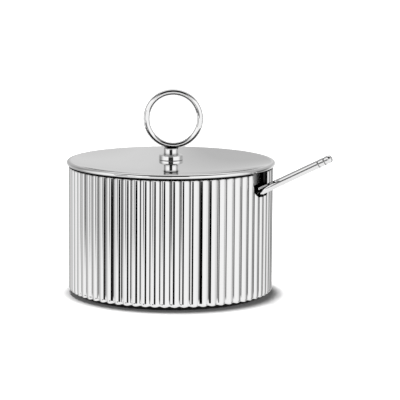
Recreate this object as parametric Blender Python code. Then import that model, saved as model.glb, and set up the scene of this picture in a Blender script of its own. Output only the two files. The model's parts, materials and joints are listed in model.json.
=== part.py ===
"""Silver sugar bowl: a fluted drum on a recessed foot, with a dished lid, a ring finial on a
turned stem, and a spoon that leaves the bowl through a notch in its rim.

The origin is the centre of the foot's underside, +Z is up, and the rim notch is on +X, with the
spoon in the XZ plane. Units are metres. Every piece is its own closed solid, and neighbouring
pieces keep GAP between them.
"""

import math

import bmesh
import bpy
from mathutils import Matrix, Vector

MM = 0.001
GAP = 0.3 * MM

# Fluted drum. The crests of the flutes are at BODY_RADIUS, and one of them is on +X.
BODY_RADIUS = 50.0 * MM
BODY_BOTTOM = 2.0 * MM
BODY_TOP = 62.8 * MM
FLUTES = 66
FLUTE_STEPS = 4
FLUTE_DEPTH = 0.76 * MM
FLUTE_TURN = math.pi / FLUTES
SHELL_INNER_RADIUS = 48.5 * MM
LIP_INNER_RADIUS = 46.4 * MM
LIP_THICKNESS = 0.8 * MM
FOOT_CURL_HEIGHT = 1.6 * MM
FOOT_CURL_INSET = 0.8 * MM
TOP_CURL_HEIGHT = 0.5 * MM
TOP_CURL_INSET = 0.4 * MM
FOOT_CURL_STEPS = 3
TOP_CURL_STEPS = 2

# Smooth cup inside the drum, and the two discs that close the drum from below.
LINER_THICKNESS = 1.0 * MM
LINER_OUTER_RADIUS = SHELL_INNER_RADIUS - GAP
LINER_INNER_RADIUS = LINER_OUTER_RADIUS - LINER_THICKNESS
LINER_CORNER_RADIUS = 5.0 * MM
LINER_FLOOR_THICKNESS = 0.8 * MM
LINER_PROUD = 0.2 * MM
LINER_TOP = BODY_TOP + LINER_PROUD
BASE_PLATE_THICKNESS = 0.8 * MM
BASE_PLATE_BOTTOM = BODY_BOTTOM + LIP_THICKNESS + GAP
FOOT_RADIUS = 45.6 * MM
FOOT_EDGE = 0.4 * MM
FOOT_TOP = BASE_PLATE_BOTTOM - GAP
LINER_BOTTOM = BASE_PLATE_BOTTOM + BASE_PLATE_THICKNESS + GAP

# Rim notch that the spoon's handle lies in. The liner's is cut deeper, clear of the handle.
NOTCH_WIDTH = 14.4 * MM
NOTCH_FLOOR = 51.2 * MM
NOTCH_CORNER_RADIUS = 4.5 * MM
LINER_NOTCH_DROP = 0.7 * MM
CUTTER_MARGIN = 6.0 * MM

# Lid: a dished plate with a full-round edge, and a locating skirt under it.
LID_RADIUS = 51.0 * MM
LID_EDGE_BOTTOM = LINER_TOP + GAP
LID_EDGE_THICKNESS = 2.3 * MM
LID_CREST = LID_EDGE_BOTTOM + LID_EDGE_THICKNESS
LID_CENTRE_TOP = 60.0 * MM
LID_SHEET = 1.2 * MM
DISH_OVERLAP = 0.5 * MM
DISH_STEPS = 5
SKIRT_OUTER_RADIUS = 46.0 * MM
SKIRT_THICKNESS = 1.0 * MM
SKIRT_TOP = 62.9 * MM
SKIRT_BOTTOM = 56.5 * MM
SKIRT_EDGE = 0.3 * MM

# Screw and washer that hold the finial from under the lid.
SCREW_RADIUS = 1.5 * MM
SCREW_CLEARANCE = 0.3 * MM
SCREW_TOP = 65.0 * MM
SCREW_HEAD_RADIUS = 3.0 * MM
SCREW_HEAD_HEIGHT = 1.8 * MM
SCREW_HEAD_EDGE = 0.6 * MM
SCREW_SLOT_LENGTH = 4 * SCREW_HEAD_RADIUS
SCREW_SLOT_WIDTH = 0.8 * MM
SCREW_SLOT_DEPTH = 0.9 * MM
WASHER_RADIUS = 6.0 * MM
WASHER_THICKNESS = 0.8 * MM

# Finial: a turned stem with two beads, and an upright ring a little to one side of the stem.
NECK_RADIUS = 3.55 * MM
BEAD_RADIUS = 5.9 * MM
LOWER_BEAD = (63.8 * MM, 65.8 * MM)
UPPER_BEAD = (65.8 * MM, 68.3 * MM)
BEAD_EDGE = 0.5 * MM
BEAD_GROOVE = 0.35 * MM
RING_CENTRE = 85.8 * MM
RING_RADIUS = 13.05 * MM
RING_WIRE_RADIUS = 1.525 * MM
STEM_TOP = RING_CENTRE - RING_RADIUS - RING_WIRE_RADIUS - GAP
STEM_BORE_TOP = SCREW_TOP + GAP
RING_TURN = math.radians(27.0)
RING_OFFSET = 1.0 * MM
RING_SIDES = 10

# Spoon: its handle crosses the drum's wall at SPOON_PIVOT and rises outwards.
SPOON_PIVOT = Vector((50.0 * MM, 0.0, 54.5 * MM))
SPOON_RISE = math.radians(26.8)
HANDLE_RADIUS = 1.95 * MM
HANDLE_TIP = 39.9 * MM
HANDLE_FOOT = -62.0 * MM
HANDLE_DOME = 1.2 * MM
GROOVE_DEPTH = 0.4 * MM
GROOVE_HALF_WIDTH = 0.25 * MM
GROOVES_FROM_TIP = (3.6 * MM, 7.0 * MM)
SPOON_BOWL_TIP = -105.0 * MM
SPOON_BOWL_LENGTH = 36.0 * MM
SPOON_BOWL_HALF_WIDTH = 11.5 * MM
SPOON_BOWL_DEPTH = 6.0 * MM
SPOON_BOWL_SHEET = 1.0 * MM
SPOON_EDGE_WIDTH = 0.6 * MM
SPOON_EDGE_LIMIT = 0.4
SPOON_TIP_CUT = 0.04
TANG_START = 0.7
TANG_SPAN = 0.35
SPOON_STATIONS = 16
SPOON_SIDES = 10

# Faces meeting at more than SHARP_ANGLE keep a crisp edge. The rest are segments in a full turn.
SHARP_ANGLE = math.radians(35)
COARSE = 24
MEDIUM = 48
FINE = 64


def clear_scene():
    """Removes every object, so the model starts from an empty scene."""
    for item in list(bpy.data.objects):
        bpy.data.objects.remove(item)


def make_material(name, colour, roughness, metallic):
    """Principled material with one colour, roughness and metallic value."""
    material = bpy.data.materials.new(name)
    material.use_nodes = True
    shader = material.node_tree.nodes["Principled BSDF"]
    shader.inputs["Base Color"].default_value = (*colour, 1.0)
    shader.inputs["Roughness"].default_value = roughness
    shader.inputs["Metallic"].default_value = metallic
    return material


def add_object(name, bm, colour, roughness, metallic, parent):
    """Links the mesh as an object under parent, with faces out and its own material."""
    bmesh.ops.recalc_face_normals(bm, faces=bm.faces)
    mesh = bpy.data.meshes.new(name)
    bm.to_mesh(mesh)
    bm.free()
    mesh.shade_smooth()
    mesh.set_sharp_from_angle(angle=SHARP_ANGLE)
    mesh.materials.append(make_material(name, colour, roughness, metallic))
    item = bpy.data.objects.new(name, mesh)
    bpy.context.scene.collection.objects.link(item)
    item.parent = parent
    return item


def add_empty(name, location=(0, 0, 0), rotation=None):
    """Empty that carries one moving group, with its origin on the joint's axis."""
    empty = bpy.data.objects.new(name, None)
    empty.location = location
    if rotation is not None:
        empty.rotation_mode = "QUATERNION"
        empty.rotation_quaternion = rotation
    bpy.context.scene.collection.objects.link(empty)
    return empty


def arc(centre, radius, start, end, steps):
    """Points (r, z) along an arc, angles in degrees from the +r direction."""
    points = []
    for i in range(steps + 1):
        angle = math.radians(start + (end - start) * i / steps)
        points.append((centre[0] + radius * math.cos(angle), centre[1] + radius * math.sin(angle)))
    return points


def lathe(profile, segments, closed):
    """Spins a profile of (r, z) points about Z. An open profile starts and ends on the axis."""
    bm = bmesh.new()
    verts = [bm.verts.new((r, 0.0, z)) for r, z in profile]
    edges = [bm.edges.new(pair) for pair in zip(verts, verts[1:])]
    if closed:
        edges.append(bm.edges.new((verts[-1], verts[0])))
    bmesh.ops.spin(
        bm, geom=verts + edges, cent=(0, 0, 0), axis=(0, 0, 1), angle=2 * math.pi,
        steps=segments, use_merge=True,
    )
    bmesh.ops.remove_doubles(bm, verts=bm.verts, dist=1e-7)
    return bm


def bridge(bm, lower, upper):
    """Quads between two loops of the same number of points."""
    count = len(lower)
    for i in range(count):
        after = (i + 1) % count
        bm.faces.new((lower[i], lower[after], upper[after], upper[i]))


def cut(target, cutter):
    """Boolean difference that stays on the target."""
    modifier = target.modifiers.new("cut_" + cutter.name, "BOOLEAN")
    modifier.operation = "DIFFERENCE"
    modifier.solver = "EXACT"
    modifier.object = cutter


def hide_cutter(cutter):
    """A cutter is a guide and not a piece of the bowl."""
    cutter.hide_render = True
    cutter.display_type = "WIRE"


def flute_radius(crest, step):
    """Radius at one step round the drum: a valley at step 0, then a smooth wave to the next."""
    wave = math.cos(2 * math.pi * step / FLUTE_STEPS)
    return crest - FLUTE_DEPTH * (1 + wave) / 2


def flute_loop(bm, crest, height):
    """Fluted ring of points that starts in a valley."""
    count = FLUTES * FLUTE_STEPS
    loop = []
    for step in range(count):
        angle = FLUTE_TURN + 2 * math.pi * step / count
        radius = flute_radius(crest, step)
        loop.append(bm.verts.new((radius * math.cos(angle), radius * math.sin(angle), height)))
    return loop


def plain_loop(bm, radius, height):
    """Plain ring with one point at each valley, for the inside of the drum."""
    loop = []
    for i in range(FLUTES):
        angle = FLUTE_TURN + 2 * math.pi * i / FLUTES
        loop.append(bm.verts.new((radius * math.cos(angle), radius * math.sin(angle), height)))
    return loop


def fill_flutes(bm, fluted, plain):
    """Flat faces, one to a flute, between a fluted ring and a plain one at the same height."""
    count = len(fluted)
    for i in range(FLUTES):
        outline = [fluted[(i * FLUTE_STEPS + k) % count] for k in range(FLUTE_STEPS + 1)]
        bm.faces.new(outline + [plain[(i + 1) % FLUTES], plain[i]])


def curl_levels():
    """Crest radius and height of each fluted ring: curled in at the foot and at the rim."""
    levels = []
    for i in range(FOOT_CURL_STEPS + 1):
        angle = math.pi / 2 * i / FOOT_CURL_STEPS
        crest = BODY_RADIUS - FOOT_CURL_INSET * (1 - math.sin(angle))
        levels.append((crest, BODY_BOTTOM + FOOT_CURL_HEIGHT * (1 - math.cos(angle))))
    for i in range(TOP_CURL_STEPS + 1):
        angle = math.pi / 2 * i / TOP_CURL_STEPS
        crest = BODY_RADIUS - TOP_CURL_INSET * (1 - math.cos(angle))
        levels.append((crest, BODY_TOP - TOP_CURL_HEIGHT * (1 - math.sin(angle))))
    return levels


def make_fluted_shell(parent):
    """Outer drum: flutes outside, a plain wall inside, and a lip turned in at the bottom."""
    bm = bmesh.new()
    outside = [flute_loop(bm, crest, height) for crest, height in curl_levels()]
    lip_top = BODY_BOTTOM + LIP_THICKNESS
    inside = [
        plain_loop(bm, SHELL_INNER_RADIUS, BODY_TOP),
        plain_loop(bm, SHELL_INNER_RADIUS, lip_top),
        plain_loop(bm, LIP_INNER_RADIUS, lip_top),
        plain_loop(bm, LIP_INNER_RADIUS, BODY_BOTTOM),
    ]
    for loops in (outside, inside):
        for lower, upper in zip(loops, loops[1:]):
            bridge(bm, lower, upper)
    fill_flutes(bm, outside[-1], inside[0])
    fill_flutes(bm, outside[0], inside[-1])
    return add_object("fluted_shell", bm, (0.86, 0.86, 0.87), 0.06, 1.0, parent)


def make_liner(parent):
    """Smooth inner cup with a rounded floor corner and a rounded rim."""
    outer_corner = LINER_CORNER_RADIUS + LINER_THICKNESS
    outer_centre = (LINER_OUTER_RADIUS - outer_corner, LINER_BOTTOM + outer_corner)
    floor = LINER_BOTTOM + LINER_FLOOR_THICKNESS
    inner_centre = (LINER_INNER_RADIUS - LINER_CORNER_RADIUS, floor + LINER_CORNER_RADIUS)
    rim_radius = LINER_THICKNESS / 2
    rim_centre = (LINER_OUTER_RADIUS - rim_radius, LINER_TOP - rim_radius)
    profile = [(0.0, LINER_BOTTOM)]
    profile += arc(outer_centre, outer_corner, -90, 0, 3)
    profile += arc(rim_centre, rim_radius, 0, 180, 4)
    profile += arc(inner_centre, LINER_CORNER_RADIUS, 0, -90, 3)
    profile += [(0.0, floor)]
    bm = lathe(profile, FINE, closed=False)
    return add_object("bowl_liner", bm, (0.80, 0.80, 0.81), 0.18, 1.0, parent)


def make_base_plate(parent):
    """Flat disc on the drum's lip, between the liner and the foot."""
    radius = SHELL_INNER_RADIUS - GAP
    top = BASE_PLATE_BOTTOM + BASE_PLATE_THICKNESS
    profile = [(0.0, top), (radius, top), (radius, BASE_PLATE_BOTTOM), (0.0, BASE_PLATE_BOTTOM)]
    bm = lathe(profile, MEDIUM, closed=False)
    add_object("base_plate", bm, (0.60, 0.60, 0.61), 0.30, 1.0, parent)


def make_foot_pad(parent):
    """Dark recessed disc that the bowl stands on."""
    profile = [
        (0.0, FOOT_TOP),
        (FOOT_RADIUS, FOOT_TOP),
        (FOOT_RADIUS, FOOT_EDGE),
        (FOOT_RADIUS - FOOT_EDGE, 0.0),
        (0.0, 0.0),
    ]
    bm = lathe(profile, MEDIUM, closed=False)
    add_object("foot_pad", bm, (0.02, 0.02, 0.02), 0.75, 0.0, parent)


def make_notch_cutter(name, floor, parent):
    """Prism on +X with the notch's round-cornered outline, open upwards."""
    half = NOTCH_WIDTH / 2
    radius = NOTCH_CORNER_RADIUS
    top = LINER_TOP + CUTTER_MARGIN
    outline = [(half, top)]
    outline += arc((half - radius, floor + radius), radius, 0, -90, 5)
    outline += arc((radius - half, floor + radius), radius, -90, -180, 5)
    outline += [(-half, top)]
    bm = bmesh.new()
    inside = [bm.verts.new((LINER_INNER_RADIUS - CUTTER_MARGIN, y, z)) for y, z in outline]
    outside = [bm.verts.new((BODY_RADIUS + CUTTER_MARGIN, y, z)) for y, z in outline]
    bridge(bm, inside, outside)
    bm.faces.new(inside)
    bm.faces.new(outside)
    cutter = add_object(name, bm, (0.5, 0.5, 0.5), 0.5, 0.0, parent)
    hide_cutter(cutter)
    return cutter


def dish_top(radius):
    """Height of the lid's dished upper face."""
    crest_radius = LID_RADIUS - LID_EDGE_THICKNESS / 2
    return LID_CENTRE_TOP + (LID_CREST - LID_CENTRE_TOP) * (radius / crest_radius) ** 2


def make_lid_plate(parent):
    """Dished plate with a full-round edge and a clearance hole for the screw."""
    edge = LID_EDGE_THICKNESS / 2
    crest_radius = LID_RADIUS - edge
    hole = SCREW_RADIUS + SCREW_CLEARANCE
    dish_radius = SKIRT_OUTER_RADIUS + DISH_OVERLAP
    radii = [hole + (dish_radius - hole) * i / DISH_STEPS for i in range(DISH_STEPS + 1)]
    top = [(radius, dish_top(radius)) for radius in radii]
    rim = arc((crest_radius, LID_EDGE_BOTTOM + edge), edge, 90, -90, 6)
    under = [(radius, min(LID_EDGE_BOTTOM, dish_top(radius) - LID_SHEET)) for radius in radii]
    bm = lathe(top + rim + under[::-1], FINE, closed=True)
    return add_object("lid_plate", bm, (0.88, 0.88, 0.89), 0.08, 1.0, parent)


def make_lid_skirt(parent):
    """Locating ring that drops inside the liner."""
    inner = SKIRT_OUTER_RADIUS - SKIRT_THICKNESS
    profile = [
        (SKIRT_OUTER_RADIUS, SKIRT_TOP),
        (SKIRT_OUTER_RADIUS, SKIRT_BOTTOM + SKIRT_EDGE),
        (SKIRT_OUTER_RADIUS - SKIRT_EDGE, SKIRT_BOTTOM),
        (inner + SKIRT_EDGE, SKIRT_BOTTOM),
        (inner, SKIRT_BOTTOM + SKIRT_EDGE),
        (inner, SKIRT_TOP),
    ]
    bm = lathe(profile, FINE, closed=True)
    add_object("lid_skirt", bm, (0.84, 0.84, 0.85), 0.12, 1.0, parent)


def make_finial_washer(parent):
    """Flat washer under the middle of the lid."""
    top = LID_CENTRE_TOP - LID_SHEET - GAP
    bottom = top - WASHER_THICKNESS
    inner = SCREW_RADIUS + SCREW_CLEARANCE
    profile = [(inner, top), (WASHER_RADIUS, top), (WASHER_RADIUS, bottom), (inner, bottom)]
    bm = lathe(profile, COARSE, closed=True)
    add_object("finial_washer", bm, (0.70, 0.70, 0.71), 0.25, 1.0, parent)
    return bottom


def make_finial_screw(parent, washer_bottom):
    """Slotted round-head screw, head down, with its shank up in the stem's bore."""
    head_top = washer_bottom - GAP
    head_bottom = head_top - SCREW_HEAD_HEIGHT
    edge_centre = (SCREW_HEAD_RADIUS - SCREW_HEAD_EDGE, head_bottom + SCREW_HEAD_EDGE)
    profile = [
        (0.0, SCREW_TOP),
        (SCREW_RADIUS, SCREW_TOP),
        (SCREW_RADIUS, head_top),
        (SCREW_HEAD_RADIUS, head_top),
    ]
    profile += arc(edge_centre, SCREW_HEAD_EDGE, 0, -90, 2)
    profile += [(0.0, head_bottom)]
    bm = lathe(profile, COARSE, closed=False)
    screw = add_object("finial_screw", bm, (0.65, 0.65, 0.66), 0.25, 1.0, parent)
    slot = bmesh.new()
    bmesh.ops.create_cube(slot, size=1.0)
    size = Vector((SCREW_SLOT_LENGTH, SCREW_SLOT_WIDTH, 2 * SCREW_SLOT_DEPTH))
    bmesh.ops.scale(slot, vec=size, verts=slot.verts)
    bmesh.ops.translate(slot, vec=Vector((0, 0, head_bottom)), verts=slot.verts)
    cutter = add_object("slot_cutter", slot, (0.5, 0.5, 0.5), 0.5, 0.0, parent)
    hide_cutter(cutter)
    cut(screw, cutter)


def make_finial_stem(parent):
    """Turned stem: neck, two touching beads and a neck that the ring stands on."""
    low, middle = LOWER_BEAD
    high = UPPER_BEAD[1]
    bore = SCREW_RADIUS + SCREW_CLEARANCE
    base = LID_CENTRE_TOP + GAP
    inset = BEAD_RADIUS - BEAD_EDGE
    profile = [(0.0, STEM_TOP), (NECK_RADIUS - BEAD_EDGE / 2, STEM_TOP)]
    profile += [(NECK_RADIUS, STEM_TOP - BEAD_EDGE / 2), (NECK_RADIUS, high)]
    profile += arc((inset, high - BEAD_EDGE), BEAD_EDGE, 90, 0, 2)
    profile += [(BEAD_RADIUS, middle + BEAD_GROOVE), (BEAD_RADIUS - BEAD_GROOVE, middle)]
    profile += [(BEAD_RADIUS, middle - BEAD_GROOVE)]
    profile += arc((inset, low + BEAD_EDGE), BEAD_EDGE, 0, -90, 2)
    profile += [(NECK_RADIUS, low), (NECK_RADIUS, base), (bore, base)]
    profile += [(bore, STEM_BORE_TOP), (0.0, STEM_BORE_TOP)]
    bm = lathe(profile, COARSE, closed=False)
    add_object("finial_stem", bm, (0.86, 0.86, 0.87), 0.06, 1.0, parent)


def make_finial_ring(parent):
    """Upright finger ring of round wire, shifted in its own plane and turned by RING_TURN."""
    last = 360 - 360 / RING_SIDES
    profile = arc((RING_RADIUS, 0.0), RING_WIRE_RADIUS, 0, last, RING_SIDES - 1)
    bm = lathe(profile, MEDIUM, closed=True)
    upright = Matrix.Rotation(math.pi / 2, 4, "X")
    turned = Matrix.Rotation(RING_TURN, 4, "Z")
    place = turned @ Matrix.Translation((RING_OFFSET, 0, RING_CENTRE)) @ upright
    bmesh.ops.transform(bm, matrix=place, verts=bm.verts)
    add_object("finial_ring", bm, (0.86, 0.86, 0.87), 0.06, 1.0, parent)


def make_spoon_handle(parent):
    """Straight round rod with a domed end and two turned grooves, along the parent's Z."""
    shoulder = HANDLE_RADIUS - HANDLE_DOME
    profile = [(0.0, HANDLE_FOOT), (HANDLE_RADIUS, HANDLE_FOOT)]
    for distance in GROOVES_FROM_TIP[::-1]:
        middle = HANDLE_TIP - distance
        profile.append((HANDLE_RADIUS, middle - GROOVE_HALF_WIDTH))
        profile.append((HANDLE_RADIUS - GROOVE_DEPTH, middle))
        profile.append((HANDLE_RADIUS, middle + GROOVE_HALF_WIDTH))
    profile += arc((shoulder, HANDLE_TIP - HANDLE_DOME), HANDLE_DOME, 0, 90, 3)
    profile += [(0.0, HANDLE_TIP)]
    bm = lathe(profile, COARSE, closed=False)
    add_object("spoon_handle", bm, (0.84, 0.84, 0.85), 0.08, 1.0, parent)


def smooth(value):
    """Smooth step from 0 to 1."""
    value = min(1.0, max(0.0, value))
    return value * value * (3 - 2 * value)


def spoon_section(share):
    """Cross-section (up, side) of the spoon's bowl. Share 0 is its tip and 1 its round tang."""
    length = HANDLE_FOOT - GAP - SPOON_BOWL_TIP
    along = share * length / SPOON_BOWL_LENGTH
    oval = math.sqrt(max(0.0, 1 - (2 * along - 1) ** 2)) if along < 1 else 0.0
    tang = smooth((along - TANG_START) / TANG_SPAN)
    sheet = SPOON_BOWL_SHEET
    half_width = SPOON_BOWL_HALF_WIDTH * oval * (1 - tang) + HANDLE_RADIUS * tang
    hollow = (SPOON_BOWL_DEPTH - sheet) * oval
    depth = (sheet + hollow) * (1 - tang) + HANDLE_RADIUS * tang
    rise = HANDLE_RADIUS * tang - hollow * (1 - tang)
    edge = min(SPOON_EDGE_WIDTH, SPOON_EDGE_LIMIT * half_width) * (1 - tang)
    inner_width = half_width - edge
    angles = [math.pi * i / SPOON_SIDES for i in range(SPOON_SIDES)]
    points = []
    for angle in angles:
        points.append((-depth * math.sin(angle), half_width * math.cos(angle)))
    for angle in angles:
        points.append((rise * math.sin(angle), -inner_width * math.cos(angle)))
    return points


def make_spoon_bowl(parent):
    """Oval spoon bowl that runs into a round tang, lofted along the parent's Z."""
    start = SPOON_BOWL_TIP
    end = HANDLE_FOOT - GAP
    bm = bmesh.new()
    loops = []
    for i in range(SPOON_STATIONS + 1):
        turn = SPOON_TIP_CUT + (1 - SPOON_TIP_CUT) * i / SPOON_STATIONS
        share = (1 - math.cos(math.pi * turn)) / 2
        height = start + (end - start) * share
        loop = [bm.verts.new((up, side, height)) for up, side in spoon_section(share)]
        loops.append(loop)
    for lower, upper in zip(loops, loops[1:]):
        bridge(bm, lower, upper)
    bm.faces.new(loops[0])
    bm.faces.new(loops[-1])
    add_object("spoon_bowl", bm, (0.82, 0.82, 0.83), 0.15, 1.0, parent)


def main():
    clear_scene()
    bowl = add_empty("bowl")
    shell_notch = make_notch_cutter("shell_notch_cutter", NOTCH_FLOOR, bowl)
    cut(make_fluted_shell(bowl), shell_notch)
    liner_floor = NOTCH_FLOOR - LINER_NOTCH_DROP
    liner_notch = make_notch_cutter("liner_notch_cutter", liner_floor, bowl)
    cut(make_liner(bowl), liner_notch)
    make_base_plate(bowl)
    make_foot_pad(bowl)

    lid_ring = add_empty("lid_ring", (0, 0, SKIRT_TOP))
    make_lid_skirt(lid_ring)
    lid = add_empty("lid", (0, 0, SKIRT_TOP))
    make_lid_plate(lid)
    washer_bottom = make_finial_washer(lid)
    make_finial_screw(lid, washer_bottom)
    make_finial_stem(lid)
    make_finial_ring(lid)
    for piece in list(lid_ring.children) + list(lid.children):
        piece.matrix_parent_inverse = Matrix.Translation((0, 0, -SKIRT_TOP))

    along = Vector((math.cos(SPOON_RISE), 0, math.sin(SPOON_RISE)))
    up = Vector((-math.sin(SPOON_RISE), 0, math.cos(SPOON_RISE)))
    axes = Matrix((up, along.cross(up), along)).transposed()
    spoon = add_empty("spoon", SPOON_PIVOT, axes.to_quaternion())
    make_spoon_handle(spoon)
    make_spoon_bowl(spoon)


main()
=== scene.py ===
"""Looks of the silver sugar bowl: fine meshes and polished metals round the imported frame.

Everything is in metres in the frame's own axes: +Z up, the rim notch and the spoon on +X.
"""

import json
import math

import bmesh
import bpy
from mathutils import Matrix, Vector


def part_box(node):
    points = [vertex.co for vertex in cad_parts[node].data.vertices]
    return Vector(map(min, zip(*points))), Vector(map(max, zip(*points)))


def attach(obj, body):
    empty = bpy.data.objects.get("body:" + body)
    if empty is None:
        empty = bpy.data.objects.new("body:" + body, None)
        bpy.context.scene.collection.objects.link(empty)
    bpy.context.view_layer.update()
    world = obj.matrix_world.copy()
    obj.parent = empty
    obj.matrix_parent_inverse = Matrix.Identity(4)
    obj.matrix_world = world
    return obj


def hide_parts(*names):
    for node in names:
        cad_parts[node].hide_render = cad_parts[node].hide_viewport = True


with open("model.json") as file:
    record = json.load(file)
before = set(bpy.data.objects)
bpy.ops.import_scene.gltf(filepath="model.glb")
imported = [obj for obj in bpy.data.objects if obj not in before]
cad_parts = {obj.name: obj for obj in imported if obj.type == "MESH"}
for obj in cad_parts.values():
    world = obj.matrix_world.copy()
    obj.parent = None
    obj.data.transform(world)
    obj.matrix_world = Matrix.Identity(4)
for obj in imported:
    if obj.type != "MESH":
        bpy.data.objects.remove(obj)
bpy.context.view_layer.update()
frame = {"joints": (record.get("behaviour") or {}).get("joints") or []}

MM = 0.001
GAP = 0.3 * MM


def joint(name):
    """The frame's joint of that name."""
    return next(j for j in frame["joints"] if j["name"] == name)


# Sizes that come from the frame.
SHELL_LOW, SHELL_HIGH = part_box("fluted_shell")
LINER_LOW, LINER_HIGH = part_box("bowl_liner")
PLATE_LOW, PLATE_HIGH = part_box("base_plate")
FOOT_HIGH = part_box("foot_pad")[1]
LID_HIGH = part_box("lid_plate")[1]
SKIRT_LOW, SKIRT_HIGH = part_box("lid_skirt")
WASHER_LOW, WASHER_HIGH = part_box("finial_washer")
SCREW_LOW, SCREW_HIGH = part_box("finial_screw")
STEM_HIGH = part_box("finial_stem")[1]
RING_LOW, RING_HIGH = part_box("finial_ring")
SPOON_ALONG = Vector(joint("spoon_draw")["axis"])

# The fluted drum. One crest is on +X, and one valley is at FLUTE_TURN.
FLUTES = 66
FLUTE_STEPS = 32
FLUTE_TURN = math.pi / FLUTES
CREST_RADIUS = 50.0 * MM
CREST_ARC = 3.1 * MM
VALLEY_ARC = 1.0 * MM
FLANK_SLOPE = math.radians(35)
DRUM_INNER_RADIUS = 48.5 * MM
LIP_INNER_RADIUS = 46.4 * MM
LIP_THICKNESS = 0.8 * MM
FOOT_CURL = (0.8 * MM, 1.6 * MM)
RIM_CURL = (0.4 * MM, 0.5 * MM)
SCALLOP = 0.6
NOTCH_HALF_WIDTH = 7.2 * MM
NOTCH_FLOOR = 51.2 * MM
NOTCH_CORNER = 4.5 * MM
LINER_NOTCH_DROP = 0.7 * MM

# The cup, the lid and the finial.
LINER_THICKNESS = 1.0 * MM
LINER_FLOOR = 0.8 * MM
LINER_CORNER = 5.0 * MM
LID_EDGE = 1.15 * MM
LID_CENTRE_TOP = 60.0 * MM
LID_SHEET = 1.2 * MM
SKIRT_THICKNESS = 1.0 * MM
SCREW_RADIUS = 1.5 * MM
SLOT_HALF_LENGTH = 4 * MM
SLOT_HALF_WIDTH = 0.4 * MM
SLOT_DEPTH = 0.9 * MM
NECK_RADIUS = 3.55 * MM
BEADS = ((63.8 * MM, 65.8 * MM), (65.8 * MM, 68.3 * MM))
RING_WIRE_RADIUS = 1.525 * MM
RING_TURN = math.radians(27)

# The spoon, along its handle from the point where it crosses the drum's wall.
SPOON_PIVOT = Vector((50.0 * MM, 0.0, 54.5 * MM))
HANDLE_RADIUS = 1.95 * MM
HANDLE_TIP = 39.9 * MM
HANDLE_FOOT = -62.0 * MM
GROOVES_FROM_TIP = (3.6 * MM, 7.0 * MM)
SCOOP_TIP = -105.0 * MM
SCOOP_LENGTH = 36.0 * MM
SCOOP_HALF_WIDTH = 11.5 * MM
SCOOP_DEPTH = 6.0 * MM
SCOOP_SHEET = 1.0 * MM

# The view of the whole bowl: a long lens, a little above it, with the notch to the right.
CAMERA_TURN = math.radians(27)
CAMERA_PLACE = Vector((14.3 * MM, -1145.5 * MM, 227.5 * MM))
CAMERA_TILT = math.radians(9.012)
CAMERA_ROLL = math.radians(0.4)
CAMERA_LENS = 213.0

# The studio: half the floor's width, and the lamp's size, power, height and distance to the left.
FLOOR_HALF_WIDTH = 6.0
LAMP_SIZE = 0.24
LAMP_POWER = 11.0
LAMP_HEIGHT = 1.0
LAMP_ASIDE = 0.09

ROUND = 256
LONG_RUN = 1.25 * MM
SUPPORT = 0.12 * MM


# ---------------------------------------------------------------- meshes


def make_piece(name, verts, faces, sharp_angle=35):
    """Mesh object with faces out, smooth but for edges sharper than the angle."""
    mesh = bpy.data.meshes.new(name)
    mesh.from_pydata(verts, [], faces)
    bm = bmesh.new()
    bm.from_mesh(mesh)
    bmesh.ops.remove_doubles(bm, verts=bm.verts, dist=1e-7)
    bmesh.ops.recalc_face_normals(bm, faces=bm.faces)
    bm.to_mesh(mesh)
    bm.free()
    mesh.shade_smooth()
    mesh.set_sharp_from_angle(angle=math.radians(sharp_angle))
    item = bpy.data.objects.new(name, mesh)
    bpy.context.scene.collection.objects.link(item)
    return item


def arc(centre, radius, start, end, steps):
    """Points (r, z) along an arc, angles in degrees from the +r direction."""
    points = []
    for i in range(steps + 1):
        angle = math.radians(start + (end - start) * i / steps)
        points.append((centre[0] + radius * math.cos(angle), centre[1] + radius * math.sin(angle)))
    return points


def rounded(corners, steps=5):
    """Outline through (r, z, radius) corners, each rounded by its radius. It stays open."""
    points = []
    for i, (r, z, radius) in enumerate(corners):
        here = Vector((r, z))
        if radius <= 0:
            points.append((r, z))
            continue
        before = (Vector(corners[i - 1][:2]) - here).normalized()
        after = (Vector(corners[(i + 1) % len(corners)][:2]) - here).normalized()
        half = math.acos(max(-1.0, min(1.0, before.dot(after)))) / 2
        reach = radius / math.tan(half)
        centre = here + (before + after).normalized() * (radius / math.sin(half))
        first = here + before * reach - centre
        last = here + after * reach - centre
        for k in range(steps + 1):
            share = k / steps
            point = (first * (1 - share) + last * share).normalized() * radius + centre
            points.append((point.x, point.y))
    return points


def supported(profile, closed):
    """Profile with a point near each end of its long straight runs, which keeps them flat."""
    points = []
    count = len(profile)
    for i, (r, z) in enumerate(profile):
        points.append((r, z))
        if i == count - 1 and not closed:
            break
        after = profile[(i + 1) % count]
        length = math.hypot(after[0] - r, after[1] - z)
        if length > LONG_RUN:
            for share in (SUPPORT / length, 1 - SUPPORT / length):
                points.append((r + (after[0] - r) * share, z + (after[1] - z) * share))
    return points


def lathe(name, profile, closed, segments=ROUND):
    """Piece turned about Z from (r, z) points. An open profile starts and ends on the axis."""
    profile = supported(profile, closed)
    verts = []
    for i in range(segments):
        angle = 2 * math.pi * i / segments
        verts += [(r * math.cos(angle), r * math.sin(angle), z) for r, z in profile]
    count = len(profile)
    spans = count if closed else count - 1
    faces = []
    for i in range(segments):
        here = i * count
        there = (i + 1) % segments * count
        for k in range(spans):
            after = (k + 1) % count
            corners = (here + k, there + k, there + after, here + after)
            on_axis = [abs(profile[j][0]) < 1e-9 for j in (k, k, after, after)]
            if on_axis[0] and on_axis[2]:
                continue
            if on_axis[0]:
                corners = (here + k, there + after, here + after)
            elif on_axis[2]:
                corners = (here + k, there + k, here + after)
            faces.append(corners)
    return make_piece(name, verts, faces)


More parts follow.
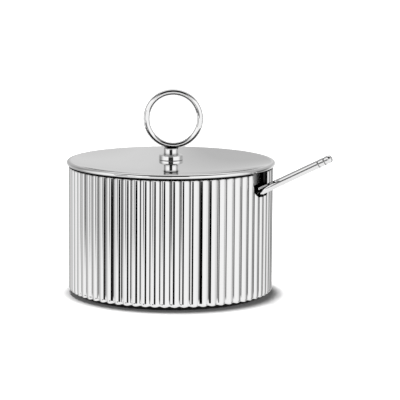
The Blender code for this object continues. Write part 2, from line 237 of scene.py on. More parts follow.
def loft(name, loops, sharp_angle=35):
    """Piece through loops of the same number of points, with both ends filled."""
    count = len(loops[0])
    verts = [point for loop in loops for point in loop]
    faces = []
    for i in range(len(loops) - 1):
        for k in range(count):
            after = (k + 1) % count
            faces.append(
                (i * count + k, i * count + after, (i + 1) * count + after, (i + 1) * count + k)
            )
    faces.append(tuple(range(count)))
    faces.append(tuple(range((len(loops) - 1) * count, len(loops) * count)))
    return make_piece(name, verts, faces, sharp_angle)


def cut_away(piece, cutter):
    """Takes the cutter out of the piece for good, and removes the cutter."""
    modifier = piece.modifiers.new("cut", "BOOLEAN")
    modifier.operation = "DIFFERENCE"
    modifier.solver = "EXACT"
    modifier.object = cutter
    bpy.context.view_layer.update()
    graph = bpy.context.evaluated_depsgraph_get()
    mesh = bpy.data.meshes.new_from_object(piece.evaluated_get(graph), depsgraph=graph)
    piece.modifiers.clear()
    piece.data = mesh
    mesh.shade_smooth()
    mesh.set_sharp_from_angle(angle=math.radians(35))
    bpy.data.objects.remove(cutter)


def notch_cutter(floor):
    """Round-bottomed prism along +X that cuts the notch out of a wall."""
    half = NOTCH_HALF_WIDTH
    radius = NOTCH_CORNER
    top = LINER_HIGH.z + 5 * MM
    outline = [(half, top)]
    outline += arc((half - radius, floor + radius), radius, 0, -90, 16)
    outline += arc((radius - half, floor + radius), radius, -90, -180, 16)
    outline += [(-half, top)]
    near = LINER_HIGH.x - 8 * MM
    far = CREST_RADIUS + 8 * MM
    return loft("notch_cutter", [[(x, y, z) for y, z in outline] for x in (near, far)])


# ---------------------------------------------------------------- bowl


def flute_drop(share):
    """Depth below the crest at a share of one flute: 0 and 1 are valleys, 0.5 the crest."""
    half = math.pi * CREST_RADIUS / FLUTES
    from_crest = abs(share - 0.5) * 2 * half
    crest_end = CREST_ARC * math.sin(FLANK_SLOPE)
    valley_end = half - VALLEY_ARC * math.sin(FLANK_SLOPE)
    if from_crest < crest_end:
        return CREST_ARC - math.sqrt(CREST_ARC**2 - from_crest**2)
    drop = CREST_ARC * (1 - math.cos(FLANK_SLOPE))
    flank = min(from_crest, valley_end) - crest_end
    drop += flank * math.tan(FLANK_SLOPE)
    if from_crest > valley_end:
        from_valley = half - from_crest
        floor = VALLEY_ARC * (1 - math.cos(FLANK_SLOPE))
        drop += floor - (VALLEY_ARC - math.sqrt(VALLEY_ARC**2 - from_valley**2))
    return drop


VALLEY_DEPTH = flute_drop(0.0)


def hand_finish(flute):
    """Small repeatable lean of one flute, as a share of its width."""
    return 0.02 * math.sin(2.4 * flute + 0.7) + 0.01 * math.sin(5.3 * flute)


def drum_levels():
    """(inset, height, scallop) of the crest line, curled in at the foot and at the rim."""
    low = SHELL_LOW.z + FOOT_CURL[1]
    high = SHELL_HIGH.z - RIM_CURL[1]
    steps = 10
    levels = []
    for i in range(steps + 1):
        turn = math.pi / 2 * i / steps
        curl = 1 - math.sin(turn)
        levels.append((FOOT_CURL[0] * curl, low - FOOT_CURL[1] * math.cos(turn), SCALLOP * curl))
    runs = 6
    levels.append((0.0, low + SUPPORT, 0.0))
    levels += [(0.0, low + (high - low) * i / runs, 0.0) for i in range(1, runs)]
    levels.append((0.0, high - SUPPORT, 0.0))
    for i in range(steps + 1):
        turn = math.pi / 2 * i / steps
        curl = 1 - math.cos(turn)
        levels.append((RIM_CURL[0] * curl, high + RIM_CURL[1] * math.sin(turn), -SCALLOP * curl))
    return levels


def drum_loop(inset, height, scallop=0.0, fluted=True, radius=CREST_RADIUS):
    """Ring of points round the drum at one height. Scallop moves its valleys up or down."""
    loop = []
    for flute in range(FLUTES):
        lean = hand_finish(flute)
        for k in range(FLUTE_STEPS):
            share = k / FLUTE_STEPS
            bent = share + lean * math.sin(math.pi * share) ** 2
            drop = flute_drop(bent) if fluted else 0.0
            reach = radius - inset - drop
            angle = FLUTE_TURN + 2 * math.pi * (flute + share) / FLUTES
            loop.append((reach * math.cos(angle), reach * math.sin(angle), height + scallop * drop))
    return loop


def build_drum():
    """Fluted outer drum with its turned-in lip, its plain inner wall and the notch."""
    loops = [drum_loop(*level) for level in drum_levels()]
    lip_top = SHELL_LOW.z + LIP_THICKNESS
    for radius, height in (
        (DRUM_INNER_RADIUS, SHELL_HIGH.z),
        (DRUM_INNER_RADIUS, lip_top),
        (LIP_INNER_RADIUS, lip_top),
        (LIP_INNER_RADIUS, SHELL_LOW.z),
    ):
        loops.append(drum_loop(0.0, height, fluted=False, radius=radius))
    count = len(loops[0])
    verts = [point for loop in loops for point in loop]
    faces = []
    for i in range(len(loops)):
        here = i * count
        there = (i + 1) % len(loops) * count
        for k in range(count):
            after = (k + 1) % count
            faces.append((here + k, here + after, there + after, there + k))
    drum = make_piece("drum", verts, faces)
    cut_away(drum, notch_cutter(NOTCH_FLOOR))
    return drum


def build_cup():
    """Smooth inner cup with rounded floor corner and rim, notched deeper than the drum."""
    outer = LINER_HIGH.x
    inner = outer - LINER_THICKNESS
    bottom = LINER_LOW.z
    floor = bottom + LINER_FLOOR
    rim = LINER_THICKNESS / 2
    profile = [(0.0, bottom), (outer - 12 * MM, bottom)]
    corner = LINER_CORNER + LINER_THICKNESS
    profile += arc((outer - corner, bottom + corner), corner, -90, 0, 12)
    profile += [(outer, NOTCH_FLOOR - 6 * MM)]
    profile += arc((outer - rim, LINER_HIGH.z - rim), rim, 0, 180, 10)
    profile += [(inner, NOTCH_FLOOR - 6 * MM)]
    profile += arc((inner - LINER_CORNER, floor + LINER_CORNER), LINER_CORNER, 0, -90, 12)
    profile += [(outer - 12 * MM, floor), (0.0, floor)]
    cup = lathe("inner_cup", profile, closed=False)
    cut_away(cup, notch_cutter(NOTCH_FLOOR - LINER_NOTCH_DROP))
    return cup


def build_base_plate():
    """Disc above the foot."""
    r = PLATE_HIGH.x
    edge = 0.15 * MM
    corners = [
        (0.0, PLATE_HIGH.z, 0),
        (r, PLATE_HIGH.z, edge),
        (r, PLATE_LOW.z, edge),
        (0.0, PLATE_LOW.z, 0),
    ]
    return lathe("bottom_plate", rounded(corners), closed=False)


def build_foot():
    """Dark foot pad with a shallow moulded groove near its edge."""
    r = FOOT_HIGH.x
    groove = r - 5 * MM
    corners = [
        (0.0, FOOT_HIGH.z, 0),
        (r, FOOT_HIGH.z, 0.2 * MM),
        (r, 0.0, 0.5 * MM),
        (groove + 1.2 * MM, 0.0, 0.3 * MM),
        (groove + 0.6 * MM, 0.5 * MM, 0.2 * MM),
        (groove - 0.6 * MM, 0.5 * MM, 0.2 * MM),
        (groove - 1.2 * MM, 0.0, 0.3 * MM),
        (0.0, 0.0, 0),
    ]
    return lathe("foot", rounded(corners, 4), closed=False)


# ---------------------------------------------------------------- lid


def dish_top(radius):
    """Height of the lid's dished upper face."""
    crest = LID_HIGH.x - LID_EDGE
    return LID_CENTRE_TOP + (LID_HIGH.z - LID_CENTRE_TOP) * (radius / crest) ** 2


def build_lid():
    """Dished plate with a full-round edge and a hole for the screw."""
    crest = LID_HIGH.x - LID_EDGE
    under = LID_HIGH.z - 2 * LID_EDGE
    hole = SCREW_RADIUS + GAP
    steps = 40
    radii = [hole + (crest - hole) * i / steps for i in range(steps)]
    top = [(r, dish_top(r)) for r in radii]
    edge = arc((crest, under + LID_EDGE), LID_EDGE, 90, -90, 20)
    bottom = [(r, min(under, dish_top(r) - LID_SHEET)) for r in radii if r < SKIRT_HIGH.x + 1 * MM]
    return lathe("lid_disc", top + edge + bottom[::-1], closed=True)


def build_skirt():
    """Locating ring under the lid, with softened edges."""
    outer = SKIRT_HIGH.x
    inner = outer - SKIRT_THICKNESS
    soft = 0.3 * MM
    corners = [
        (outer, SKIRT_HIGH.z, soft),
        (outer, SKIRT_LOW.z, soft),
        (inner, SKIRT_LOW.z, soft),
        (inner, SKIRT_HIGH.z, soft),
    ]
    return lathe("skirt", rounded(corners), closed=True)


def build_washer():
    """Washer under the lid."""
    r = WASHER_HIGH.x
    hole = SCREW_RADIUS + GAP
    soft = 0.15 * MM
    corners = [
        (hole, WASHER_HIGH.z, soft),
        (r, WASHER_HIGH.z, soft),
        (r, WASHER_LOW.z, soft),
        (hole, WASHER_LOW.z, soft),
    ]
    return lathe("washer", rounded(corners, 4), closed=True, segments=96)


def build_screw():
    """Round-head screw under the lid, with a slot in its head."""
    head_top = WASHER_LOW.z - GAP
    corners = [
        (0.0, SCREW_HIGH.z, 0),
        (SCREW_RADIUS, SCREW_HIGH.z, 0.3 * MM),
        (SCREW_RADIUS, head_top, 0),
        (SCREW_HIGH.x, head_top, 0.1 * MM),
        (SCREW_HIGH.x, SCREW_LOW.z, 1.1 * MM),
        (0.0, SCREW_LOW.z, 0),
    ]
    screw = lathe("screw", rounded(corners), closed=False, segments=96)
    low = Vector((-SLOT_HALF_LENGTH, -SLOT_HALF_WIDTH, SCREW_LOW.z - 1 * MM))
    high = Vector((SLOT_HALF_LENGTH, SLOT_HALF_WIDTH, SCREW_LOW.z + SLOT_DEPTH))
    ends = []
    for z in (low.z, high.z):
        ends.append([(low.x, low.y, z), (high.x, low.y, z), (high.x, high.y, z), (low.x, high.y, z)])
    cut_away(screw, loft("slot_cutter", ends))
    return screw


def build_stem():
    """Turned stem: neck, two touching beads and a neck that the ring stands on."""
    bead = STEM_HIGH.x
    base = LID_CENTRE_TOP + 0.02 * MM
    top = RING_LOW.z + 0.25 * MM
    low, middle = BEADS[0]
    high = BEADS[1][1]
    bore = SCREW_RADIUS + GAP
    soft = 0.25 * MM
    corners = [
        (0.0, top, 0),
        (NECK_RADIUS, top, 0.35 * MM),
        (NECK_RADIUS, high, 0.15 * MM),
        (bead, high, 0.6 * MM),
        (bead, middle, soft),
        (bead - 0.7 * MM, middle, 0.1 * MM),
        (bead - 0.7 * MM, middle - 0.12 * MM, 0.1 * MM),
        (bead, middle - 0.12 * MM, soft),
        (bead, low, 0.7 * MM),
        (NECK_RADIUS, low, 0.15 * MM),
        (NECK_RADIUS, base, 0.1 * MM),
        (bore, base, 0),
        (bore, SCREW_HIGH.z + GAP, 0),
        (0.0, SCREW_HIGH.z + GAP, 0),
    ]
    return lathe("stem", rounded(corners, 6), closed=False)


def build_ring():
    """Upright finger ring of round wire."""
    half = (RING_HIGH.z - RING_LOW.z) / 2
    radius = half - RING_WIRE_RADIUS
    sides = 40
    profile = arc((radius, 0.0), RING_WIRE_RADIUS, 0, 360 - 360 / sides, sides - 1)
    ring = lathe("finger_ring", profile, closed=True)
    upright = Matrix.Rotation(math.pi / 2, 4, "X")
    turned = Matrix.Rotation(RING_TURN, 4, "Z")
    ring.data.transform(Matrix.Translation((RING_LOW + RING_HIGH) / 2) @ turned @ upright)
    return ring


# ---------------------------------------------------------------- spoon


def spoon_matrix():
    """Turns spoon axes, with Z along the handle and X up, into the frame's axes."""
    along = SPOON_ALONG.normalized()
    side = Vector((0, -1, 0))
    up = side.cross(along)
    turn = Matrix((up, side, along)).transposed().to_4x4()
    return Matrix.Translation(SPOON_PIVOT) @ turn


def build_handle():
    """Straight round rod with two turned grooves and a domed end."""
    r = HANDLE_RADIUS
    groove = 0.45 * MM
    corners = [(0.0, HANDLE_FOOT, 0), (r, HANDLE_FOOT, 0.1 * MM)]
    for distance in GROOVES_FROM_TIP[::-1]:
        middle = HANDLE_TIP - distance
        corners += [
            (r, middle - 0.35 * MM, 0.2 * MM),
            (r - groove, middle - 0.12 * MM, 0.05 * MM),
            (r - groove, middle + 0.12 * MM, 0.05 * MM),
            (r, middle + 0.35 * MM, 0.2 * MM),
        ]
    corners += [(r, HANDLE_TIP, 1.3 * MM), (0.0, HANDLE_TIP, 0)]
    handle = lathe("handle", rounded(corners, 8), closed=False, segments=96)
    handle.data.transform(spoon_matrix())
    return handle


def smooth(value):
    """Smooth step from 0 to 1."""
    value = min(1.0, max(0.0, value))
    return value * value * (3 - 2 * value)


def scoop_section(share, steps):
    """Cross-section (up, side) of the scoop. Share 0 is its tip and 1 its round tang."""
    along = share * (HANDLE_FOOT - SCOOP_TIP) / SCOOP_LENGTH
    oval = math.sqrt(max(0.0, 1 - (2 * along - 1) ** 2)) if along < 1 else 0.0
    tang = smooth((along - 0.7) / 0.35)
    half_width = SCOOP_HALF_WIDTH * oval * (1 - tang) + HANDLE_RADIUS * tang
    hollow = (SCOOP_DEPTH - SCOOP_SHEET) * oval
    depth = (SCOOP_SHEET + hollow) * (1 - tang) + HANDLE_RADIUS * tang
    rise = HANDLE_RADIUS * tang - hollow * (1 - tang)
    inner = half_width - min(0.6 * SCOOP_SHEET, 0.4 * half_width) * (1 - tang)
    points = []
    for i in range(steps):
        angle = math.pi * i / steps
        points.append((-depth * math.sin(angle), half_width * math.cos(angle)))
    for i in range(steps):
        angle = math.pi * i / steps
        points.append((rise * math.sin(angle), -inner * math.cos(angle)))
    return points


def build_scoop():
    """Oval scoop of the spoon, running into a round tang at the handle."""
    stations = 60
    loops = []
    for i in range(stations + 1):
        share = (1 - math.cos(math.pi * (0.02 + 0.98 * i / stations))) / 2
        height = SCOOP_TIP + (HANDLE_FOOT - 0.02 * MM - SCOOP_TIP) * share
        loops.append([(up, side, height) for up, side in scoop_section(share, 28)])
    scoop = loft("scoop", loops, sharp_angle=60)
    scoop.data.transform(spoon_matrix())
    return scoop


# ---------------------------------------------------------------- materials


class Nodes:
    """Short way to write a node tree."""

    def __init__(self, tree):
        self.tree = tree

    def add(self, kind, **settings):
        """New node with its settings. Its inputs are set with put()."""
        made = self.tree.nodes.new(kind)
        for name, value in settings.items():
            setattr(made, name, value)
        return made

    def put(self, made, **inputs):
        """Sets or links a node's inputs by name, with _ for a space."""
        for name, value in inputs.items():
            self.feed(made.inputs[name.replace("_", " ")], value)
        return made

    def feed(self, socket, value):
        """Links a socket, or sets its value."""
        if isinstance(value, bpy.types.NodeSocket):
            self.tree.links.new(value, socket)
        else:
            socket.default_value = value

    def math(self, operation, *values):
        """Math node's result."""
        made = self.add("ShaderNodeMath", operation=operation)
        for socket, value in zip(made.inputs, values):
            self.feed(socket, value)
        return made.outputs[0]

    def dot(self, vector, direction):
        """Dot product of a vector socket with a fixed direction."""
        made = self.add("ShaderNodeVectorMath", operation="DOT_PRODUCT")
        self.feed(made.inputs[0], vector)
        made.inputs[1].default_value = direction
        return made.outputs["Value"]

    def between(self, value, low, high, out_low=0.0, out_high=1.0, kind="SMOOTHSTEP"):
        """Value mapped from low..high to out_low..out_high."""
        made = self.add("ShaderNodeMapRange", interpolation_type=kind)
        names = ("Value", "From Min", "From Max", "To Min", "To Max")
        for name, item in zip(names, (value, low, high, out_low, out_high)):
            self.feed(made.inputs[name], item)
        return made.outputs["Result"]

    def noise(self, vector, scale, detail=4.0, roughness=0.55):
        """Noise texture's factor."""
        made = self.add("ShaderNodeTexNoise")
        self.put(made, Vector=vector, Scale=scale, Detail=detail, Roughness=roughness)
        return made.outputs["Fac"]

    def stretched(self, vector, scale):
        """Vector scaled on each axis, for brushed and scratched textures."""
        made = self.add("ShaderNodeMapping")
        self.put(made, Vector=vector, Scale=scale)
        return made.outputs["Vector"]

    def mix_grey(self, factor, low, high):
        """Colour between two greys."""
        made = self.add("ShaderNodeMix", data_type="RGBA")
        self.feed(made.inputs[0], factor)
        made.inputs[6].default_value = (*low, 1.0)
        made.inputs[7].default_value = (*high, 1.0)
        return made.outputs[2]


def new_material(name):
    """Material with an empty Principled shader, its nodes and its object coordinates."""
    material = bpy.data.materials.new(name)
    material.use_nodes = True
    nodes = Nodes(material.node_tree)
    shader = material.node_tree.nodes["Principled BSDF"]
    place = nodes.add("ShaderNodeTexCoord").outputs["Object"]
    return material, nodes, shader, place


def bumped(nodes, shader, height, distance, strength=1.0):
    """Feeds a height into the shader's normal."""
    bump = nodes.add("ShaderNodeBump")
    nodes.put(bump, Height=height, Distance=distance, Strength=strength)
    nodes.feed(shader.inputs["Normal"], bump.outputs["Normal"])


def crevice_painted_shade(nodes, closed=0.4, open_air=0.85):
    """Brightness factor of painted shade: it darkens tight corners, such as the gap under the lid's edge.
    """
    crevice = nodes.add("ShaderNodeAmbientOcclusion", samples=8)
    nodes.put(crevice, Distance=2.2 * MM)
    return nodes.between(crevice.outputs["AO"], closed, open_air, 0.02, 1.0)


def cut_edge_painted_shade(nodes, place):
    """Brightness factor of painted shade, nearly black, on the edges that were left where the notch was
    cut.
    """
    apart = nodes.add("ShaderNodeSeparateXYZ")
    nodes.feed(apart.inputs[0], place)
    x, y, z = apart.outputs
    aside = nodes.math("ABSOLUTE", y)
    inner = nodes.math("GREATER_THAN", aside, NOTCH_HALF_WIDTH - 0.3 * MM)
    outer = nodes.math("LESS_THAN", aside, NOTCH_HALF_WIDTH + 0.03 * MM)
    high = nodes.math("GREATER_THAN", z, NOTCH_FLOOR)
    front = nodes.math("GREATER_THAN", x, 0.0)
    across = nodes.math("MULTIPLY", inner, outer)
    edge = nodes.math("MULTIPLY", across, nodes.math("MULTIPLY", high, front))
    return nodes.math("SUBTRACT", 1.0, nodes.math("MULTIPLY", edge, 0.96))


def height_and_radius(nodes, place):
    """Height of a point, and its distance from the Z axis."""
    apart = nodes.add("ShaderNodeSeparateXYZ")
    nodes.feed(apart.inputs[0], place)
    x, y, z = apart.outputs
    squares = nodes.math("ADD", nodes.math("MULTIPLY", x, x), nodes.math("MULTIPLY", y, y))
    return z, nodes.math("SQRT", squares)


def fluted_painted_shade(nodes, place):
    """Brightness factor of the drum, all painted shade: dark valleys, painted lighter on the left
    side, and a dark gap under the lid."""
    z, radius = height_and_radius(nodes, place)
    valley = CREST_RADIUS - VALLEY_DEPTH
    # Painted light: the valleys' painted shade keeps at least this brightness, lighter on the left side.
    left = nodes.dot(place, toward(-90))
    valley_shade_floor = nodes.between(left, 0.66 * CREST_RADIUS, 0.86 * CREST_RADIUS, 0.16, 0.62)
    # Painted shade: darker at the bottom of each valley.
    valley_shade = nodes.between(radius, valley + 0.015 * MM, valley + 0.10 * MM)
    headroom = nodes.math("SUBTRACT", 1.0, valley_shade_floor)
    valley_shade = nodes.math("ADD", valley_shade_floor, nodes.math("MULTIPLY", valley_shade, headroom))
    # No painted shade in the valleys at the foot's curl.
    no_valley_shade_at_foot = nodes.between(z, SHELL_LOW.z + FOOT_CURL[1], SHELL_LOW.z + 3 * FOOT_CURL[1], 1.0, 0.0)
    valley_shade = nodes.math("MAXIMUM", valley_shade, no_valley_shade_at_foot)
    # Painted shade: the drum's top just under the lid is darkened in tight corners.
    under_lid = nodes.between(z, SHELL_HIGH.z - 1.1 * MM, SHELL_HIGH.z - 0.6 * MM)
    gap = nodes.math("SUBTRACT", 1.0, crevice_painted_shade(nodes, 0.55, 0.98))
    gap = nodes.math("SUBTRACT", 1.0, nodes.math("MULTIPLY", under_lid, gap))
    return nodes.math("MULTIPLY", nodes.math("MULTIPLY", valley_shade, gap), cut_edge_painted_shade(nodes, place))


def lid_painted_shade(nodes, place):
    """Brightness factor of the lid, all painted shade: tight corners, and a painted shadow low on its
    round edge.
    """
    z, radius = height_and_radius(nodes, place)
    outer = nodes.math("GREATER_THAN", radius, LID_HIGH.x - LID_EDGE)
    low = LID_HIGH.z - 2 * LID_EDGE
    # Painted shadow: the lowest part of the round edge, over the gap, is darkened almost to black.
    painted_shade = nodes.between(z, low + 0.25 * MM, low + 0.75 * MM, 0.96, 0.0)
    painted_shade = nodes.math("SUBTRACT", 1.0, nodes.math("MULTIPLY", outer, painted_shade))
    return nodes.math("MULTIPLY", painted_shade, crevice_painted_shade(nodes))


def polished_silver(name, roughness=0.03, waviness=0.0008 * MM, tone_of=None):
    """Mirror-polished silver: faint cloudy tone, hairline scratches and a slight ripple."""
    material, nodes, shader, place = new_material(name)
    cloud = nodes.noise(place, 45.0, 3.0)
    scratch_a = nodes.noise(nodes.stretched(place, (260.0, 260.0, 4200.0)), 1.0, 2.0)
    scratch_b = nodes.noise(nodes.stretched(place, (3600.0, 420.0, 300.0)), 1.0, 2.0)
    fine = nodes.between(scratch_a, 0.66, 0.74)
    coarse = nodes.between(scratch_b, 0.67, 0.75)
    scratches = nodes.math("MAXIMUM", fine, coarse)
    smudge = nodes.between(nodes.noise(place, 95.0, 5.0, 0.7), 0.5, 0.75)
    tone = nodes.mix_grey(cloud, (0.965, 0.963, 0.96), (0.93, 0.93, 0.935))
    # Painted shade: the tone_of factor, or darkening in tight corners, scales the colour.
    painted_shade = tone_of(nodes, place) if tone_of else crevice_painted_shade(nodes)
    shade = nodes.add("ShaderNodeVectorMath", operation="SCALE")
    nodes.feed(shade.inputs[0], tone)
    nodes.feed(shade.inputs["Scale"], painted_shade)
    haze = nodes.math("MULTIPLY_ADD", smudge, 0.015, roughness)
    rough = nodes.math("MULTIPLY_ADD", scratches, 0.02, haze)
    nodes.put(shader, Base_Color=shade.outputs["Vector"], Metallic=1.0, Roughness=rough)
    bumped(nodes, shader, nodes.noise(place, 140.0, 1.0), waviness)
    return material


def turned_steel(name, tone=(0.78, 0.78, 0.79)):
    """Satin steel with fine rings left by turning and polishing round Z."""
    material, nodes, shader, place = new_material(name)
    rings = nodes.noise(nodes.stretched(place, (30.0, 30.0, 5200.0)), 1.0, 3.0)
    cloud = nodes.noise(place, 60.0, 3.0)
    dark = tuple(0.86 * c for c in tone)
    shade = nodes.add("ShaderNodeVectorMath", operation="SCALE")
    nodes.feed(shade.inputs[0], nodes.mix_grey(cloud, tone, dark))
    # Painted shade: the notch's cut edges and tight corners are darkened in the colour.
    painted_shade = nodes.math("MULTIPLY", cut_edge_painted_shade(nodes, place), crevice_painted_shade(nodes, 0.3, 0.8))
    nodes.feed(shade.inputs["Scale"], painted_shade)
    nodes.put(
        shader, Base_Color=shade.outputs["Vector"], Metallic=1.0,
        Roughness=nodes.between(rings, 0.3, 0.7, 0.16, 0.30),
    )
    bumped(nodes, shader, rings, 0.004 * MM)
    return material


def plain_steel(name):
    """Unpolished steel of the parts that nobody sees in use."""
    material, nodes, shader, place = new_material(name)
    grain = nodes.noise(place, 1800.0, 4.0)
    stain = nodes.noise(place, 120.0, 3.0)
    nodes.put(
        shader, Base_Color=nodes.mix_grey(stain, (0.58, 0.58, 0.59), (0.46, 0.46, 0.47)),
        Metallic=1.0, Roughness=nodes.between(grain, 0.3, 0.7, 0.28, 0.42),
    )
    bumped(nodes, shader, grain, 0.008 * MM)
    return material


def black_rubber(name):
    """Matt black foot with a fine moulded grain, dusty in places."""
    material, nodes, shader, place = new_material(name)
    grain = nodes.noise(place, 2600.0, 3.0)
    dust = nodes.between(nodes.noise(place, 160.0, 6.0), 0.52, 0.8)
    nodes.put(
        shader, Base_Color=nodes.mix_grey(dust, (0.012, 0.012, 0.012), (0.035, 0.034, 0.033)),
        Roughness=nodes.between(grain, 0.3, 0.7, 0.6, 0.85),
    )
    shader.inputs["Specular IOR Level"].default_value = 0.15
    bumped(nodes, shader, grain, 0.05 * MM)
    return material


# ---------------------------------------------------------------- studio


def toward(azimuth):
    """Horizontal unit vector at an angle to the right of the camera's side of the bowl."""
    angle = CAMERA_TURN + math.radians(azimuth)
    return Vector((math.sin(angle), -math.cos(angle), 0.0))


def ramp(nodes, azimuth, stops):
    """Brightness round the room from (degrees, brightness) stops, 0 at the camera."""
    made = nodes.add("ShaderNodeValToRGB")
    line = made.color_ramp
    line.interpolation = "LINEAR"
    while len(line.elements) < len(stops):
        line.elements.new(0.5)
    for element, (degrees, value) in zip(line.elements, stops):
        element.position = (degrees + 180) / 360
        element.color = (value, value, value, 1.0)
    share = nodes.between(azimuth, -math.pi, math.pi, kind="LINEAR")
    nodes.feed(made.inputs["Fac"], share)
    return made.outputs["Color"]


# Brightness round the room at table height and above it, as (azimuth, brightness) stops.
LOW_ROOM = (
    (-180, 0.72), (-152, 0.60), (-140, 0.44), (-116, 0.42), (-106, 0.72), (-85, 0.88), (-60, 0.92),
    (60, 0.95), (84, 0.85), (100, 0.80), (108, 0.18), (130, 0.15), (142, 0.55), (152, 0.85), (180, 0.72),
)
HIGH_ROOM = (
    (-180, 0.66), (-177.5, 0.50), (-150, 0.45), (-120, 0.25), (-100, 0.45), (-82, 0.85), (-65, 1.0),
    (65, 1.0), (82, 0.90), (100, 0.42), (120, 0.42), (150, 0.50), (176, 0.60), (178.5, 0.68), (180, 0.66),
)

# Dark cards round the bowl: azimuths, heights (all in degrees), and darkness at a first and at
# a later reflection.
CARDS = (
    (-31, 2, -16, -8.0, 1.0, 1.0),
    (-24, 22, 12, 50, 0.74, 0.97),
    (-64, -47, -10.2, 8, 0.9, 0.9),
    (-64, -38, -24, -12.5, 0.9, 0.9),
)


def build_room():
    """World: a white sweep for the eye, and a light tent with dark cards for the metal."""
    world = bpy.data.worlds.new("room")
    bpy.context.scene.world = world
    world.use_nodes = True
    world.node_tree.nodes.clear()
    nodes = Nodes(world.node_tree)
    place = nodes.add("ShaderNodeTexCoord").outputs["Generated"]
    azimuth = nodes.math("ARCTAN2", nodes.dot(place, toward(90)), nodes.dot(place, toward(0)))
    height = nodes.math("ARCSINE", nodes.dot(place, (0, 0, 1)))

    def step(value, degrees, soft):
        return nodes.between(value, math.radians(degrees - soft), math.radians(degrees + soft))

    def span(value, low, high, soft):
        return nodes.math("SUBTRACT", step(value, low, soft), step(value, high, soft))

    room = nodes.add("ShaderNodeMix", data_type="RGBA")
    nodes.feed(room.inputs[0], step(height, 2, 4))
    nodes.feed(room.inputs[6], ramp(nodes, azimuth, LOW_ROOM))
    nodes.feed(room.inputs[7], ramp(nodes, azimuth, HIGH_ROOM))
    tented = nodes.add("ShaderNodeMix", data_type="RGBA")
    nodes.feed(tented.inputs[0], step(height, 52, 6))
    nodes.feed(tented.inputs[6], room.outputs[2])
    tented.inputs[7].default_value = (0.95, 0.95, 0.95, 1.0)
    table = nodes.add("ShaderNodeMix", data_type="RGBA")
    nodes.feed(table.inputs[0], step(height, -38, 8))
    table.inputs[6].default_value = (0.86, 0.86, 0.86, 1.0)
    nodes.feed(table.inputs[7], tented.outputs[2])

    path = nodes.add("ShaderNodeLightPath")
    depth = path.outputs["Ray Depth"]
    dark = 0.0
    for left, right, bottom, top, first, later in CARDS:
        strength = nodes.between(depth, 1.0, 2.0, first, later)
        mask = nodes.math("MULTIPLY", span(azimuth, left, right, 1.0), span(height, bottom, top, 0.8))
        dark = nodes.math("MAXIMUM", dark, nodes.math("MULTIPLY", mask, strength))
    again = nodes.math("MULTIPLY", step(height, 34, 3), nodes.between(depth, 1.0, 2.0))
    front = nodes.between(nodes.dot(place, toward(0)), -0.15, 0.2, 0.0, 0.98)
    ceiling = nodes.math("MULTIPLY", again, front)
    dark = nodes.math("MAXIMUM", dark, ceiling)
    dim = nodes.between(depth, 3.0, 5.0, 1.0, 0.15)
    onto_floor = nodes.between(path.outputs["Diffuse Depth"], 0.0, 1.0, 1.0, 0.3)
    faded = nodes.math("MULTIPLY", dim, onto_floor)
    keep = nodes.math("MULTIPLY", nodes.math("SUBTRACT", 1.0, dark), faded)

    for_metal = nodes.put(nodes.add("ShaderNodeBackground"), Color=table.outputs[2], Strength=keep)
    for_eye = nodes.put(nodes.add("ShaderNodeBackground"), Color=(1, 1, 1, 1), Strength=1.0)
    for_matt = nodes.put(nodes.add("ShaderNodeBackground"), Color=(1, 1, 1, 1), Strength=0.05)
    matt = nodes.add("ShaderNodeMixShader")
    nodes.feed(matt.inputs[0], path.outputs["Is Diffuse Ray"])
    nodes.feed(matt.inputs[1], for_metal.outputs[0])
    nodes.feed(matt.inputs[2], for_matt.outputs[0])
    seen = nodes.add("ShaderNodeMixShader")
    nodes.feed(seen.inputs[0], path.outputs["Is Camera Ray"])
    nodes.feed(seen.inputs[1], matt.outputs[0])
    nodes.feed(seen.inputs[2], for_eye.outputs[0])
    out = nodes.add("ShaderNodeOutputWorld")
    nodes.feed(out.inputs["Surface"], seen.outputs[0])


def build_floor():
    """Pale sweep under the bowl. The metal doesn't mirror it: the room has its own table tone."""
    signs = ((-1, -1), (1, -1), (1, 1), (-1, 1))
    corners = [(FLOOR_HALF_WIDTH * x, FLOOR_HALF_WIDTH * y, 0) for x, y in signs]
    floor = make_piece("floor", corners, [(0, 1, 2, 3)])
    material, nodes, shader, place = new_material("pale_floor")
    fibre = nodes.noise(place, 900.0, 3.0)
    tone = nodes.mix_grey(fibre, (0.93, 0.93, 0.93), (0.90, 0.90, 0.90))
    nodes.put(shader, Base_Color=tone, Roughness=0.9)
    shader.inputs["Specular IOR Level"].default_value = 0.0
    distance = nodes.add("ShaderNodeVectorMath", operation="LENGTH")
    nodes.feed(distance.inputs[0], place)
    # The floor glows by emission as painted light; ambient occlusion turns the glow down near the bowl
    # into a painted contact shadow, and far off it glows evenly.
    contact = nodes.add("ShaderNodeAmbientOcclusion", samples=16)
    nodes.put(contact, Distance=12 * MM)
    painted_floor_glow = nodes.between(contact.outputs["AO"], 0.5, 0.97, 0.0, 0.8)
    far = nodes.between(distance.outputs["Value"], 0.12, 0.4)
    nodes.put(shader, Emission_Strength=nodes.math("MAXIMUM", painted_floor_glow, far))
    shader.inputs["Emission Color"].default_value = (1, 1, 1, 1)
    floor.data.materials.append(material)
    floor.visible_glossy = False


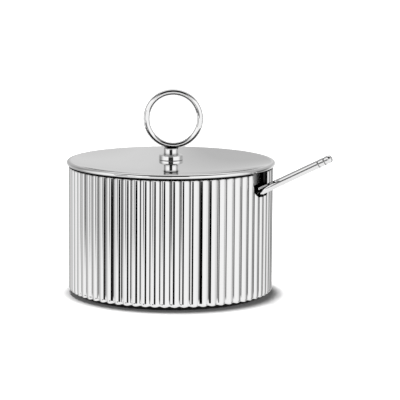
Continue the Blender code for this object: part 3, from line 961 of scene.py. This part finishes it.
def build_light():
    """Small soft lamp overhead, a little behind and to the left of the bowl."""
    data = bpy.data.lights.new("key", "AREA")
    data.shape = "DISK"
    data.size = LAMP_SIZE
    data.energy = LAMP_POWER
    key = bpy.data.objects.new("key", data)
    key.location = toward(-135) * LAMP_ASIDE + Vector((0, 0, LAMP_HEIGHT))
    key.rotation_euler = (Vector((0, 0, 0.03)) - key.location).to_track_quat("-Z", "Y").to_euler()
    key.visible_glossy = False
    bpy.context.scene.collection.objects.link(key)


def build_camera():
    """Camera at the bowl's usual view."""
    data = bpy.data.cameras.new("camera")
    data.lens = CAMERA_LENS
    data.clip_start = 0.05
    data.clip_end = 30.0
    camera = bpy.data.objects.new("camera", data)
    camera.location = Matrix.Rotation(CAMERA_TURN, 3, "Z") @ CAMERA_PLACE
    tilted = Matrix.Rotation(math.pi / 2 - CAMERA_TILT, 3, "X") @ Matrix.Rotation(CAMERA_ROLL, 3, "Z")
    camera.rotation_euler = (Matrix.Rotation(CAMERA_TURN, 3, "Z") @ tilted).to_euler()
    bpy.context.scene.collection.objects.link(camera)
    bpy.context.scene.camera = camera
    bpy.context.scene.view_settings.view_transform = "Standard"


# ---------------------------------------------------------------- assembly


def dress(piece, material, body, node):
    """Gives a piece its material and its body, and hides the frame's node that it stands for."""
    piece.data.materials.clear()
    piece.data.materials.append(material)
    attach(piece, body)
    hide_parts(node)


def build_bowl():
    """Every piece of the bowl, on its body."""
    silver = polished_silver("polished_silver")
    fluted_silver = polished_silver("fluted_silver", tone_of=fluted_painted_shade)
    lid_silver = polished_silver("lid_silver", tone_of=lid_painted_shade)
    soft_silver = polished_silver("polished_skirt", roughness=0.22)
    satin = turned_steel("turned_steel")
    plain = plain_steel("plain_steel")
    rubber = black_rubber("black_rubber")
    dress(build_drum(), fluted_silver, "bowl", "fluted_shell")
    dress(build_cup(), satin, "bowl", "bowl_liner")
    dress(build_base_plate(), plain, "bowl", "base_plate")
    dress(build_foot(), rubber, "bowl", "foot_pad")
    dress(build_skirt(), soft_silver, "lid_ring", "lid_skirt")
    dress(build_lid(), lid_silver, "lid", "lid_plate")
    dress(build_washer(), plain, "lid", "finial_washer")
    dress(build_screw(), plain, "lid", "finial_screw")
    dress(build_stem(), silver, "lid", "finial_stem")
    dress(build_ring(), silver, "lid", "finial_ring")
    dress(build_handle(), silver, "spoon", "spoon_handle")
    dress(build_scoop(), silver, "spoon", "spoon_bowl")


build_bowl()
build_room()
build_floor()
build_light()
build_camera()
